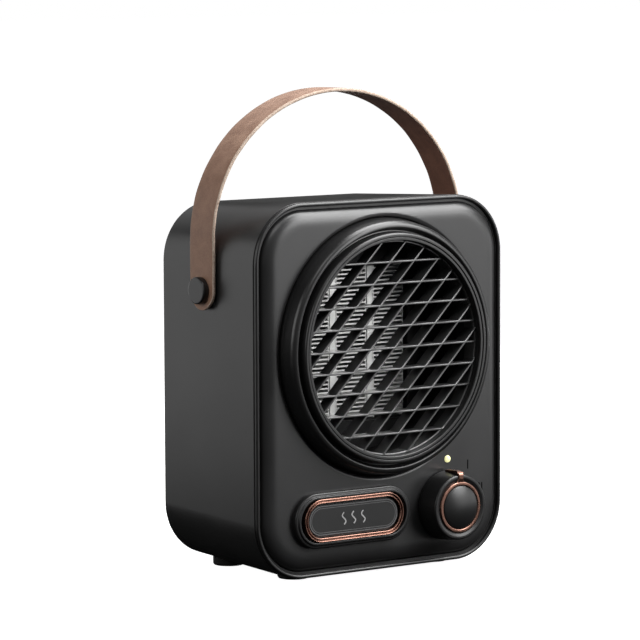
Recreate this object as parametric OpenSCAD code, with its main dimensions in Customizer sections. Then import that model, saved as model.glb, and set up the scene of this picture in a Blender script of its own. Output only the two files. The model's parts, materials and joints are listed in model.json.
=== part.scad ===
// Small ceramic desk heater with a leather carrying strap.
// Millimetres, +Z up. The origin is the middle of the heater's bounding box, on the
// surface that it stands on. The front looks along -Y; the strap turns about the X axis
// through y = 0.

/* [Body] */
// Width of the shell at its front rim
shell_w = 155.2; // [150:1:160]
// Height of the shell at its front rim
shell_h = 185; // [180:1:190]
// Depth of the shell from front rim to rear edge
shell_d = 80; // [76:1:84]
// How far each side of the shell draws in by its rear edge
taper = 3.2; // [1:0.1:4]
// Radius of the shell's corners
corner_r = 29.2; // [24:0.1:32]
// Wall thickness of the shell
wall = 2.4; // [2:0.1:3]
// How far the front face stands ahead of the shell's rim
face_rise = 4; // [3:0.1:5]
// Gap left under the front edge of the shell by the feet
foot_gap = 1.5; // [1:0.1:3]

/* [Outlet] */
// Height of the outlet's centre above the shell's lower edge
outlet_z = 111.6; // [108:0.1:114]
// Radius of the hole in the front face
outlet_r = 64.3; // [60:0.1:65]
// Radius of the clear opening
opening_r = 53.4; // [48:0.1:54]
// How far the outlet's lip stands ahead of the front face
lip_rise = 11; // [8:0.5:12]
// Spacing of the grille's ribs
rib_pitch = 10.66; // [9:0.1:12]
// Thickness of a grille rib
rib_t = 1; // [0.8:0.1:1.6]

/* [Heater core] */
// Height of the fins
fin_h = 77; // [70:1:80]
// Width of one stack of fins
fin_w = 19.3; // [18:0.1:20]
// Width of one ceramic element
ptc_w = 4.4; // [4:0.1:5]
// Spacing of the fins
fin_pitch = 2.1; // [2:0.05:2.6]
// Depth of the core
core_d = 12; // [10:1:14]

/* [Fan] */
// Radius over the fan's blades
fan_r = 50; // [46:1:52]
// Number of blades
blade_n = 7; // [5:1:9]

/* [Knob] */
// Distance of the knob's axis right of the middle
knob_x = 38.8; // [37:0.1:40]
// Height of the knob's axis above the shell's lower edge
knob_z = 29.2; // [28:0.1:31]
// Radius of the knob at its front rim
knob_r = 16.5; // [15:0.1:17]
// How far the knob's rim stands ahead of the face
knob_rise = 12.9; // [11:0.1:14]
// Angle between two switch positions
knob_step = 35; // [30:1:36]

/* [Nameplate] */
// Length of the surround
plate_w = 72; // [68:1:74]
// Height of the surround
plate_h = 27.6; // [26:0.1:29]
// Distance of its middle left of the heater's middle
plate_x = 21.7; // [20:0.1:23]
// Height of its middle above the shell's lower edge
plate_z = 28.8; // [27:0.1:30]

/* [Strap] */
// Height of the strap's pivots above the shell's lower edge
pivot_z = 141.2; // [138:0.1:144]
// Half the width of the arch over its outside
arch_half = 79.2; // [79:0.1:80]
// Height above the pivots at which the legs begin to curve
leg_h = 24.8; // [22:0.1:27]
// Height of the arch's top above the pivots
arch_h = 97.6; // [92:0.1:100]
// Width of the leather
strap_w = 19.7; // [18:0.1:21]
// Thickness of the leather
strap_t = 1.8; // [1.6:0.1:2]

/* [Hidden] */
$fn = 96;
eps = 0.01;
hull_fn = 32;
rim_y = -40.5;
back_y = rim_y + shell_d;
face_y = rim_y - face_rise;
lip_y = face_y - lip_rise;
mid_z = foot_gap + shell_h / 2;
out_z = foot_gap + outlet_z;
kn_z = foot_gap + knob_z;
np_z = foot_gap + plate_z;
pin_z = foot_gap + pivot_z;
rear_r = corner_r - 0.8;
knob_front = face_y - knob_rise;
dome_h = 2.2;
rear_limit = -(knob_front - dome_h);
// Front border
border_gap = 0.5;
bezel_d = 2.2;
bezel_in = 3.6;
panel_inset = 4;
panel_t = 2.4;
roll_w = 7.8;
pocket_in = 10;
panel_back = rim_y + 3;
edge_r = 1.9;
// Grille, duct and core
grille_y = lip_y + 3.5;
grille_d = 8;
core_y = -18.5;
core_w = 3 * fin_w + 2 * ptc_w;
frame_side = 8;
frame_end = 12;
core_screw_x = 30;
core_screw_dz = fin_h / 2 + 7;
duct_y = lip_y + 12.3;
// Fan
fan_y = 4;
fan_d = 20;
hub_r = 17;
motor_y = fan_y + fan_d + 1;
motor_d = 9;
bracket_y = motor_y + motor_d - 1;
arm_len = 58;
cover_t = 3;
shaft_r = 1.5;
// Strap and pivots
washer_in = 75.8;
strap_in = arch_half - strap_t;
pin_r = 3;
button_r = 6.75;
button_d = 3.3;
led_x = knob_x + 1.8;
led_z = kn_z + 23.1;
gland_z = 30;

// ---- helpers ----
// Lies on the front-view plane: x right, y up, extruded towards +Y from y0 for len
module front_extrude(y0, len) {
    translate([0, y0 + len, 0]) rotate([90, 0, 0]) linear_extrude(len) children();
}
// Turns about an axis along Y through (x, z); the profile is [radius, distance behind y0]
module front_revolve(x, y0, z) {
    translate([x, y0, z]) rotate([-90, 0, 0]) rotate_extrude() children();
}
module front_cyl(x, y0, z, r, len) {
    translate([x, y0, z]) rotate([-90, 0, 0]) cylinder(r = r, h = len);
}
module side_cyl(x0, y, z, r, len) {
    translate([x0, y, z]) rotate([0, 90, 0]) cylinder(r = r, h = len);
}
module both_sides() {
    children();
    mirror([1, 0, 0]) children();
}
module rrect(w, h, r) {
    square([w, h - 2 * r], center = true);
    square([w - 2 * r, h], center = true);
    for (sx = [-1, 1], sz = [-1, 1]) translate([sx * (w / 2 - r), sz * (h / 2 - r)]) circle(r);
}
module stadium(w, h) {
    square([w - h, h], center = true);
    for (s = [-1, 1]) translate([s * (w - h) / 2, 0]) circle(d = h);
}
module slab(w, h, r, y, t) {
    translate([0, 0, mid_z]) front_extrude(y, t) rrect(w, h, r, $fn = hull_fn);
}
// The tapered body, drawn in by inset all round
module body_solid(inset, y0, y1) {
    k0 = (y0 - rim_y) / shell_d;
    k1 = (y1 - rim_y) / shell_d;
    hull() {
        slab(shell_w - 2 * inset - 2 * taper * k0, shell_h - 2 * inset - 2 * taper * k0,
            corner_r - inset - 0.8 * k0, y0, eps);
        slab(shell_w - 2 * inset - 2 * taper * k1, shell_h - 2 * inset - 2 * taper * k1,
            corner_r - inset - 0.8 * k1, y1 - eps, eps);
    }
}
// The pillowed front; its edge is a quarter ellipse
module pillow() {
    w = shell_w - 2 * panel_inset;
    h = shell_h - 2 * panel_inset;
    r = corner_r - panel_inset;
    hull() {
        slab(w, h, r, panel_back - eps, eps);
        for (a = [0:18:90]) {
            in = roll_w * (1 - cos(a));
            slab(w - 2 * in, h - 2 * in, r - 0.6 * in, rim_y + 1 - (face_rise + 1) * sin(a), eps);
        }
    }
}

// ---- casing ----
module shell() {
    color("#3c3d3f") difference() {
        body_solid(0, rim_y, back_y);
        body_solid(wall, rim_y - eps, back_y + eps);
        both_sides() {
            side_cyl(60, 0, pin_z, pin_r, 30);
            side_cyl(washer_in, 0, pin_z, 7, 20);
        }
    }
}
module front_bezel() {
    color("#6a6b6d") {
        translate([0, 0, mid_z]) front_extrude(rim_y - bezel_d, bezel_d - border_gap) difference() {
            rrect(shell_w - 0.4, shell_h - 0.4, corner_r - 0.2);
            rrect(shell_w - 2 * bezel_in, shell_h - 2 * bezel_in, corner_r - bezel_in);
        }
        translate([0, 0, mid_z]) front_extrude(rim_y - border_gap, border_gap + 6) difference() {
            rrect(shell_w - 2 * wall - 1.2, shell_h - 2 * wall - 1.2, corner_r - wall - 0.6);
            rrect(shell_w - 2 * bezel_in, shell_h - 2 * bezel_in, corner_r - bezel_in);
        }
    }
}
module front_panel() {
    color("#5a5b5d") difference() {
        pillow();
        translate([0, 0, mid_z]) front_extrude(face_y + panel_t, 20)
            rrect(shell_w - 2 * pocket_in, shell_h - 2 * pocket_in, corner_r - pocket_in);
        front_revolve(0, face_y - 1, out_z) polygon(concat([[0, 0], [outlet_r + edge_r, 0]],
            [for (a = [0:15:90]) [outlet_r + edge_r * (1 - sin(a)), 1 + edge_r * (1 - cos(a))]],
            [[outlet_r, 12], [0, 12]]));
        front_cyl(knob_x, face_y - 1, kn_z, 4.5, 10);
        front_cyl(led_x, face_y - 1, led_z, 1.9, 10);
    }
}

// ---- outlet ----
// Ring with a steep barrel, a narrow land and a deep lip, in [radius, depth behind the lip]
module outlet_ring() {
    land = lip_rise - 7.8;
    seam_r = opening_r + 1.8;
    color("#4a4b4d") front_revolve(0, lip_y, out_z) difference() {
        union() {
            polygon([[opening_r, 0.6], [opening_r + 0.3, 0.3], [56.2, 0.3], [57.3, 0.9], [57.8, land + 1],
                [60.2, land + 0.6], [61.4, land + 0.2], [61.9, land + 0.8], [63.2, land + 4],
                [64, lip_rise + 0.5], [64.2, lip_rise + 1.9], [64.2, lip_rise + 5], [62, lip_rise + 5],
                [60.4, land + 3], [opening_r + 3, land + 3], [opening_r + 3, duct_y - lip_y - 0.2],
                [opening_r, duct_y - lip_y - 0.2]]);
            translate([56.2, 0.9]) circle(0.9);
        }
        translate([seam_r, -1]) square([0.3, 2]);
    }
}
module outlet_grille() {
    rim_out = opening_r - 0.05;
    diag_n = 5;
    color("#8d8e90") {
        front_revolve(0, grille_y, out_z) translate([rim_out - 0.9, 0]) square([0.9, grille_d]);
        intersection() {
            front_cyl(0, grille_y - 1, out_z, rim_out - 0.4, grille_d + 2);
            translate([0, 0, out_z]) union() {
                for (i = [-4:4]) translate([0, grille_y + grille_d / 2, i * rib_pitch])
                    cube([2.2 * opening_r, grille_d - 0.4, rib_t], center = true);
                for (i = [-diag_n:diag_n]) rotate([0, -45, 0])
                    translate([0, grille_y + grille_d / 2, i * rib_pitch - 0.7])
                    cube([2.2 * opening_r, grille_d - 0.6, rib_t], center = true);
            }
        }
    }
}
module air_duct() {
    len = core_y - duct_y;
    color("#1b1b1c") {
        front_revolve(0, duct_y, out_z) translate([opening_r + 1, 0]) square([2, len]);
        difference() {
            front_cyl(0, core_y - 2, out_z, opening_r + 2, 2);
            translate([-core_w / 2 - 1, core_y - 3, out_z - fin_h / 2 - 1])
                cube([core_w + 2, 4, fin_h + 2]);
        }
    }
}

// ---- heater core ----
module core_screw_places() {
    for (sx = [-1, 1], sz = [-1, 1]) translate([sx * core_screw_x, core_y, out_z + sz * core_screw_dz])
        children();
}
module core_frame() {
    color("#232324") difference() {
        translate([-core_w / 2 - frame_side, core_y, out_z - fin_h / 2 - frame_end])
            cube([core_w + 2 * frame_side, core_d + 2, fin_h + 2 * frame_end]);
        translate([-core_w / 2 - 0.2, core_y - 1, out_z - fin_h / 2 - 0.2])
            cube([core_w + 0.4, core_d + 4, fin_h + 0.4]);
        core_screw_places() rotate([-90, 0, 0]) cylinder(r = 1.6, h = 40, center = true);
    }
}
module core_brackets() {
    color("silver") for (s = [-1, 1]) difference() {
        translate([-core_w / 2 - 4, core_y + core_d + 2, out_z + s * core_screw_dz - 4])
            cube([core_w + 8, 1.2, 8]);
        core_screw_places() rotate([-90, 0, 0]) cylinder(r = 1.6, h = 30);
    }
}
module heater_fins() {
    n = floor(fin_h / fin_pitch);
    gap = (fin_h - n * fin_pitch) / 2;
    color("#c9cacb") for (k = [-1, 0, 1]) translate([k * (fin_w + ptc_w) - fin_w / 2, core_y + 0.5,
            out_z - fin_h / 2]) {
        for (i = [0:n - 1]) translate([0.4, 0, gap + (i + 0.5) * fin_pitch - 0.4])
            cube([fin_w - 0.8, core_d - 1, 0.8]);
        for (x = [0, fin_w - 0.5]) translate([x, 0, 0]) cube([0.5, core_d - 1, fin_h]);
    }
}
module ptc_elements() {
    color("#dcdcdc") for (s = [-1, 1]) translate([s * (fin_w + ptc_w) / 2 - ptc_w / 2, core_y + 0.2,
            out_z - fin_h / 2]) cube([ptc_w, core_d - 0.4, fin_h]);
}
module core_terminals() {
    color("#c9a24a") for (s = [-1, 1]) translate([s * (fin_w + ptc_w) / 2 - 1.5, core_y + core_d - 0.2,
            out_z - fin_h / 2 + 4]) {
        cube([3, 0.8, 12]);
        translate([0, 0.8, 0]) cube([3, 5, 0.8]);
    }
}
module thermal_cutout() {
    color("#303033") front_cyl(-core_w / 2 - 1, core_y + core_d + 2, out_z, 6.5, 4);
    color("silver") front_cyl(-core_w / 2 - 1, core_y + core_d + 6, out_z, 5.5, 2.2);
}
module thermal_fuse() {
    color("#d8c9a8") translate([core_w / 2 + 2, core_y + core_d + 4, out_z - 8]) cylinder(r = 2, h = 16);
    color("silver") for (z = [-14, 8]) translate([core_w / 2 + 2, core_y + core_d + 4, out_z + z])
        cylinder(r = 0.5, h = 6);
}

// ---- fan ----
module fan_impeller() {
    color("#2a2a2c") {
        difference() {
            front_cyl(0, fan_y, out_z, hub_r, fan_d - 2);
            front_cyl(0, fan_y + 2, out_z, hub_r - 2, fan_d);
            front_cyl(0, fan_y - 1, out_z, shaft_r, fan_d);
        }
        difference() {
            front_cyl(0, fan_y + 1, out_z, 4, fan_d - 7);
            front_cyl(0, fan_y, out_z, shaft_r, fan_d);
        }
        for (i = [0:blade_n - 1]) translate([0, fan_y + fan_d / 2 - 1, out_z])
            rotate([0, i * 360 / blade_n, 0]) translate([hub_r - 0.6, 0, 0]) rotate([38, 0, 0])
            translate([0, -0.8, -13]) cube([fan_r - hub_r, 1.6, 26]);
    }
}
module fan_shaft() {
    color("silver") front_cyl(0, fan_y - 0.5, out_z, shaft_r, 31);
}
module fan_motor() {
    color("#8f9092") difference() {
        front_cyl(0, motor_y - 6, out_z, 13.5, motor_d + 5);
        front_cyl(0, motor_y - 7, out_z, 1.8, 30);
        front_cyl(0, motor_y - 7, out_z, 3, 3);
        front_cyl(0, motor_y + motor_d - 3, out_z, 3, 3);
    }
}
module motor_bearings() {
    color("#b08a4a") for (y = [motor_y - 6, motor_y + motor_d - 3]) difference() {
        front_cyl(0, y, out_z, 3, 2);
        front_cyl(0, y - 1, out_z, shaft_r + 0.04, 4);
    }
}
// The bracket's four arms point at 45 degrees from the motor's axis
module at_arms() {
    for (a = [45:90:315]) translate([0, bracket_y, out_z]) rotate([0, a, 0]) children();
}
module motor_bracket() {
    plate = 1.5;
    color("#3a3a3c") difference() {
        union() {
            front_cyl(0, bracket_y, out_z, 16, plate);
            at_arms() translate([0, 0, -3]) cube([arm_len + 4, plate, 6]);
            at_arms() translate([arm_len, 0, 0]) rotate([-90, 0, 0])
                cylinder(r = 5, h = back_y - cover_t - bracket_y);
        }
        front_cyl(0, bracket_y - 1, out_z, 4, 4);
        at_arms() translate([arm_len, -1, 0]) rotate([-90, 0, 0]) cylinder(r = 1.4, h = 20);
    }
}

// ---- rear ----
module rear_outline(inset) {
    w = shell_w - 2 * taper - 2 * wall - 2 * inset;
    rrect(w, w + shell_h - shell_w, rear_r - wall - inset);
}
module rear_cover() {
    color("#333436") difference() {
        translate([0, 0, mid_z]) front_extrude(back_y - cover_t, cover_t) rear_outline(0.6);
        for (i = [-8:8]) {
            z = out_z + i * 6.5;
            half = sqrt(56 * 56 - pow(i * 6.5, 2));
            for (s = [-1, 1]) translate([s * (half / 2 + 1.5), back_y - cover_t / 2, z])
                cube([half - 3, cover_t + 1, 3.4], center = true);
        }
        front_cyl(0, back_y - cover_t - 1, gland_z, 7, cover_t + 2);
        rear_screw_places() rotate([-90, 0, 0]) cylinder(r = 1.7, h = 20, center = true);
    }
}
module rear_screw_places() {
    for (sx = [-1, 1], sz = [-1, 1]) translate([sx * 58, back_y - cover_t, mid_z + sz * 74]) children();
}
module rear_screws() {
    color("#9a9b9c") rear_screw_places() rotate([-90, 0, 0]) {
        translate([0, 0, cover_t]) difference() {
            cylinder(r = 3, h = 1.6);
            for (a = [0, 90]) rotate(a) translate([0, 0, 1.6]) cube([3.6, 0.8, 1.6], center = true);
        }
        translate([0, 0, -8]) cylinder(r = 1.5, h = 8 + cover_t);
    }
}
module bracket_screws() {
    color("#9a9b9c") at_arms() translate([arm_len, 0, 0]) rotate([-90, 0, 0]) {
        translate([0, 0, -2]) cylinder(r = 2.6, h = 2);
        cylinder(r = 1.4, h = 3.4);
    }
}
module core_screws() {
    color("#9a9b9c") core_screw_places() rotate([-90, 0, 0]) {
        translate([0, 0, core_d + 3.2]) cylinder(r = 2.8, h = 1.8);
        cylinder(r = 1.55, h = core_d + 3.2);
    }
}

// ---- knob and switch ----
module knob_body() {
    color("#242425") front_revolve(knob_x, knob_front, kn_z) difference() {
        union() {
            polygon([[0, 2.4], [11, 2.4], [13.2, 1.2], [14.6, 0.2], [15.4, 0.2], [knob_r, 1.6],
                [knob_r + 0.3, 4], [knob_r + 1, knob_rise - 0.6], [0, knob_rise - 0.6]]);
            translate([15.1, 1.4]) circle(1.38);
        }
        translate([0, 3.6]) square([3, 20]);
        translate([4.6, 6.5]) square([9.6, 20]);
        translate([2.9, knob_rise - 2.1]) square([6, 20]);
    }
}
module knob_trim() {
    bar_w = 3.4;
    color("#b9826b") {
        front_revolve(knob_x, knob_front, kn_z)
            polygon([[11, 2.3], [11, 0.4], [11.5, -0.1], [12.7, -0.1], [13.2, 0.5], [13.2, 1.15]]);
        translate([knob_x - bar_w / 2, knob_front, kn_z]) {
            translate([0, -0.6, 12.4]) cube([bar_w, 0.6, knob_r - 10.8]);
            translate([0, -0.6, knob_r + 0.35]) cube([bar_w, 1.6, 1.25]);
            translate([0, 0.9, knob_r + 1.05]) cube([bar_w, knob_rise - 2, 0.75]);
        }
    }
}
module knob_cap() {
    cap_r = 10.9;
    ball_r = (cap_r * cap_r + dome_h * dome_h) / (2 * dome_h);
    color("#3a3b3c") {
        front_cyl(knob_x, knob_front, kn_z, cap_r, 2.38);
        intersection() {
            translate([knob_x, knob_front - dome_h + ball_r, kn_z]) sphere(ball_r);
            front_cyl(knob_x, knob_front - dome_h - 1, kn_z, cap_r, dome_h + 1 + eps);
        }
    }
}
module switch_shaft() {
    color("silver") front_cyl(knob_x, knob_front + 3.6, kn_z, 3, knob_rise + 14);
}
module rotary_switch() {
    sy = face_y + panel_t + 1.2;
    color("#e4e2da") difference() {
        union() {
            front_cyl(knob_x, sy + 1, kn_z, 14, 16);
            front_cyl(knob_x, face_y + 0.2, kn_z, 4.4, 5);
        }
        front_cyl(knob_x, face_y - 1, kn_z, 3.05, 20);
    }
    color("#c9a24a") for (a = [0:60:300]) translate([knob_x, sy + 17, kn_z]) rotate([0, a, 0])
        translate([8, 0, -1.5]) cube([0.8, 6, 3]);
}
module switch_nut() {
    color("silver") difference() {
        front_cyl(knob_x, face_y - 1.6, kn_z, 6, 1.6, $fn = 6);
        front_cyl(knob_x, face_y - 3, kn_z, 4.5, 6);
    }
}
module indicator_lens() {
    color("#f3f2b8") {
        front_cyl(led_x, face_y - 0.4, led_z, 1.85, 4);
        intersection() {
            translate([led_x, face_y + 1, led_z]) sphere(2.3);
            front_cyl(led_x, face_y - 2, led_z, 1.85, 2);
        }
    }
}
module indicator_led() {
    color("#3f6a45") translate([led_x - 5, face_y + 5.4, led_z - 4]) cube([10, 1.4, 8]);
    color("#eeeeee") front_cyl(led_x, face_y + 3.7, led_z, 1.4, 1.7);
}
module scale_marks() {
    mark_h = 4.6;
    color("#222223") for (k = [1:2], m = [1:k]) translate([knob_x + 24.5 * sin(k * knob_step + 3)
            + (m - (k + 1) / 2) * 1.8, face_y - 0.1, kn_z + 24.5 * cos(k * knob_step + 3)])
        cube([0.6, 0.2, mark_h], center = true);
}

// ---- nameplate ----
module plate_at(y0, len) {
    translate([-plate_x, 0, np_z]) front_extrude(y0, len) children();
}
module nameplate_surround() {
    color("#1d1d1e") {
        plate_at(face_y - 2.6, 2.6) difference() {
            stadium(plate_w, plate_h);
            stadium(plate_w - 10, plate_h - 6);
        }
        plate_at(face_y - 3.8, 1.2) difference() {
            stadium(plate_w - 3.2, plate_h - 2.4);
            stadium(plate_w - 10, plate_h - 6);
        }
    }
}
module nameplate_trim() {
    color("#b9826b") plate_at(face_y - 4.2, 3.2) difference() {
        stadium(plate_w - 10.1, plate_h - 6.1);
        stadium(plate_w - 14.6, plate_h - 10.6);
    }
}
module nameplate_plate() {
    color("#2b2b2c") plate_at(face_y - 3.4, 3.4) stadium(plate_w - 14.7, plate_h - 10.7);
}

// ---- strap ----
// Outline of one half of the arch, drawn in by t; a straight leg then a quarter ellipse
function arch_pts(t, n) = [for (i = [0:n]) let(a = 90 * i / n, ax = arch_half, az = arch_h - leg_h,
    nx = cos(a) / ax, nz = sin(a) / az, nn = sqrt(nx * nx + nz * nz))
    [ax * cos(a) - t * nx / nn, leg_h + az * sin(a) - t * nz / nn]];
module handle_strap() {
    n = 30;
    outer = arch_pts(0, n);
    inner = [for (i = [n:-1:0]) arch_pts(strap_t, n)[i]];
    color("#6f5243") both_sides() difference() {
        union() {
            translate([0, strap_w / 2, pin_z]) rotate([90, 0, 0]) linear_extrude(strap_w)
                polygon(concat(outer, inner));
            translate([strap_in, -strap_w / 2, pin_z]) cube([strap_t, strap_w, leg_h]);
            side_cyl(strap_in, 0, pin_z, strap_w / 2, strap_t);
        }
        side_cyl(60, 0, pin_z, pin_r + 0.06, 40);
    }
}
module pivot_buttons() {
    color("#39393b") both_sides() {
        side_cyl(arch_half + 0.2, 0, pin_z, button_r, button_d);
        side_cyl(66, 0, pin_z, pin_r, arch_half + 0.2 - 66);
    }
}
module pivot_washers() {
    color("#1e1e1f") both_sides() difference() {
        side_cyl(washer_in, 0, pin_z, 6.4, strap_in - 0.15 - washer_in);
        side_cyl(60, 0, pin_z, pin_r, 30);
    }
}
module pivot_nuts() {
    color("silver") both_sides() difference() {
        side_cyl(69, 0, pin_z, 5.5, 4, $fn = 6);
        side_cyl(60, 0, pin_z, pin_r, 30);
    }
}

// ---- feet, cord inlet and wiring ----
module foot_pair(y) {
    foot_r = 8;
    color("#151516") difference() {
        for (s = [-1, 1]) translate([s * 44, y, 0]) {
            cylinder(r1 = foot_r - 0.8, r2 = foot_r, h = 0.8);
            translate([0, 0, 0.8]) cylinder(r = foot_r, h = 6);
        }
        body_solid(0, rim_y, back_y);
    }
}
module front_feet() {
    foot_pair(rim_y + 13);
}
module rear_feet() {
    foot_pair(rim_y + 67);
}
module cord_gland() {
    color("#1b1b1c") front_revolve(0, back_y - 8, gland_z) difference() {
        union() {
            square([6.8, 9]);
            translate([0, 8]) square([9.5, 4]);
            polygon([[0, 12], [8, 12], [5.4, rear_limit - back_y + 8], [0, rear_limit - back_y + 8]]);
        }
        translate([0, -1]) square([3.3, 60]);
    }
}
module gland_nut() {
    color("#1b1b1c") difference() {
        front_cyl(0, back_y - cover_t - 4, gland_z, 10, 4, $fn = 6);
        front_cyl(0, back_y - cover_t - 5, gland_z, 6.8, 6);
    }
}
module terminal_block() {
    color("#d9d6cc") translate([-45, 4, 14]) difference() {
        cube([30, 16, 12]);
        for (i = [0:2]) translate([5 + i * 10, -1, 6]) rotate([-90, 0, 0]) cylinder(r = 1.8, h = 18);
    }
}
// A sleeved wire through the points given, a little fuller at each bend
module wire(pts, r) {
    for (i = [0:len(pts) - 2]) {
        d = pts[i + 1] - pts[i];
        l = norm(d);
        translate(pts[i]) rotate([0, acos(d[2] / l), atan2(d[1], d[0])]) cylinder(r = r, h = l);
    }
    for (i = [1:len(pts) - 2]) translate(pts[i]) sphere(1.15 * r);
}
module lead_wires() {
    color("#7a2f2a") wire([[-20, 2, 20], [-10, -6, 20], [10, -14, 26], [knob_x - 8, -17, kn_z - 4]], 1.1);
    color("#2f4a7a") wire([[-30, 21.5, 20], [-30, 30, 26], [-3, 30, 28]], 1.1);
    color("#dddddd") wire([[-40, 2, 20], [-52, -4, 40], [-52, -4, 80], [-42, -3, out_z - 6]], 1.1);
}
module panel_screws() {
    color("#9a9b9c") for (sx = [-1, 1], sz = [-1, 1]) translate([sx * 63, panel_back + 4.5, mid_z + sz * 78])
        rotate([-90, 0, 0]) {
        cylinder(r = 2.8, h = 1.8);
        translate([0, 0, -4.5]) cylinder(r = 1.4, h = 4.5);
    }
}

shell();
front_bezel();
front_panel();
outlet_ring();
outlet_grille();
air_duct();
core_frame();
core_brackets();
heater_fins();
ptc_elements();
core_terminals();
thermal_cutout();
thermal_fuse();
fan_impeller();
fan_shaft();
fan_motor();
motor_bearings();
motor_bracket();
rear_cover();
rear_screws();
bracket_screws();
core_screws();
knob_body();
knob_trim();
knob_cap();
switch_shaft();
rotary_switch();
switch_nut();
indicator_lens();
indicator_led();
scale_marks();
nameplate_surround();
nameplate_trim();
nameplate_plate();
handle_strap();
pivot_buttons();
pivot_washers();
pivot_nuts();
front_feet();
rear_feet();
cord_gland();
gland_nut();
terminal_block();
lead_wires();
panel_screws();
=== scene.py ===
"""Looks of the small ceramic desk heater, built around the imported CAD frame.

Lengths are in millimetres until a mesh is made; the frame itself is in metres.
x is right, y is back, z is up. The front face looks along -y.
"""
import json
import math

import bmesh
import bpy
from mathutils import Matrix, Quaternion, Vector

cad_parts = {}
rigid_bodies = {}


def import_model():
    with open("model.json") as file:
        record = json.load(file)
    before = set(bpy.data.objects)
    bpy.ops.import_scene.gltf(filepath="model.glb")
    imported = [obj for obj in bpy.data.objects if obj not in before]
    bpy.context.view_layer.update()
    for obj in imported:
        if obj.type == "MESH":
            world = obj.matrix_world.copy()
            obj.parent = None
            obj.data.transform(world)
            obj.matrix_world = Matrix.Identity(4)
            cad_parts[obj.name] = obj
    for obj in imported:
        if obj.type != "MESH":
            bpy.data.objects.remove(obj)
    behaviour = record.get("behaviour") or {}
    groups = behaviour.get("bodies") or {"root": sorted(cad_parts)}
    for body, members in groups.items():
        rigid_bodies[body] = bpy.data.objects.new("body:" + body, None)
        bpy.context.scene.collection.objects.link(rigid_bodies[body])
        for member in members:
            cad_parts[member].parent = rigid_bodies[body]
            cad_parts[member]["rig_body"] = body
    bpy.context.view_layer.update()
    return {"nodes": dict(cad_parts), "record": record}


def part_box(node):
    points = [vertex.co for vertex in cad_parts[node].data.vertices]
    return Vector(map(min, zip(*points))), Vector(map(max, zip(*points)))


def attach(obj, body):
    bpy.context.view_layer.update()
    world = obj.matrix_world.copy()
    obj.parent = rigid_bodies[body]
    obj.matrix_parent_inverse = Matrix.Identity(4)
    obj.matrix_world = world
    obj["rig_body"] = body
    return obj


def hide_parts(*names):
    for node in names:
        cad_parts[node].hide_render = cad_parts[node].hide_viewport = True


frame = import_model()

MM = 0.001


def box_mm(node):
    low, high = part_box(node)
    return low / MM, high / MM


def middle(node):
    low, high = box_mm(node)
    return (low + high) / 2


# ---- places and sizes from the frame ----
shell_low, shell_high = box_mm("shell")
RIM_Y = shell_low.y
BACK_Y = shell_high.y
SHELL_W = shell_high.x - shell_low.x
SHELL_H = shell_high.z - shell_low.z
MID_Z = middle("shell").z
FACE_Y = box_mm("front_panel")[0].y
LIP_Y = box_mm("outlet_ring")[0].y
OUT_Z = middle("outlet_ring").z
GRILLE_Y = box_mm("outlet_grille")[0].y
KNOB_X = middle("knob_body").x
KNOB_Z = middle("knob_body").z
KNOB_Y = box_mm("knob_body")[0].y
LED = middle("indicator_lens")
PLATE = middle("nameplate_surround")
strap_low, strap_high = box_mm("handle_strap")
PIVOT_Z = strap_low.z + (strap_high.y - strap_low.y) / 2

# ---- sizes that repeat the CAD source ----
CORNER_R = 29.2
REAR_CORNER_R = 28.4
TAPER = 3.2
WALL = 2.4
OPENING_R = 53.4
RIB_PITCH = 10.66
RIB_T = 1.0
RIB_DEPTH = 7.8
RIB_SPAN = 4
SLANT_SHIFT = -0.7
STRAP_T = 1.8
LEG_H = 24.8


# ---- outlines ----
def rounded(points, steps=6, closed=True):
    """The outline through (x, y, radius) corners, each radius turned into an arc."""
    outline = []
    for i, point in enumerate(points):
        here = Vector(point[:2])
        radius = point[2] if len(point) > 2 else 0
        at_end = not closed and i in (0, len(points) - 1)
        if radius == 0 or at_end:
            outline.append(tuple(here))
            continue
        before = Vector(points[i - 1][:2]) - here
        after = Vector(points[(i + 1) % len(points)][:2]) - here
        half = before.angle(after) / 2
        reach = min(radius / math.tan(half), 0.49 * before.length, 0.49 * after.length)
        radius = reach * math.tan(half)
        before.normalize()
        after.normalize()
        centre = here + (before + after).normalized() * radius / math.sin(half)
        start = here + before * reach - centre
        end = here + after * reach - centre
        first = math.atan2(start.y, start.x)
        sweep = math.remainder(math.atan2(end.y, end.x) - first, 2 * math.pi)
        for k in range(steps + 1):
            angle = first + sweep * k / steps
            outline.append((centre.x + radius * math.cos(angle), centre.y + radius * math.sin(angle)))
    return outline


def rrect_loop(width, height, radius, steps=16):
    """A rectangle with round corners, anticlockwise from its right side, as (x, z)."""
    loop = []
    for quarter, (sx, sz) in enumerate(((1, 1), (-1, 1), (-1, -1), (1, -1))):
        for k in range(steps + 1):
            angle = math.radians(90 * (quarter + k / steps))
            loop.append((
                sx * (width / 2 - radius) + radius * math.cos(angle),
                sz * (height / 2 - radius) + radius * math.sin(angle),
            ))
    return loop


# ---- meshes ----
def make_piece(name, verts, faces, materials, face_slots=None, sharp=32):
    mesh = bpy.data.meshes.new(name)
    mesh.from_pydata([Vector(v) * MM for v in verts], [], faces)
    for material in materials:
        mesh.materials.append(material)
    if face_slots:
        mesh.polygons.foreach_set("material_index", face_slots)
    return finish_piece(name, mesh, sharp)


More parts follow.
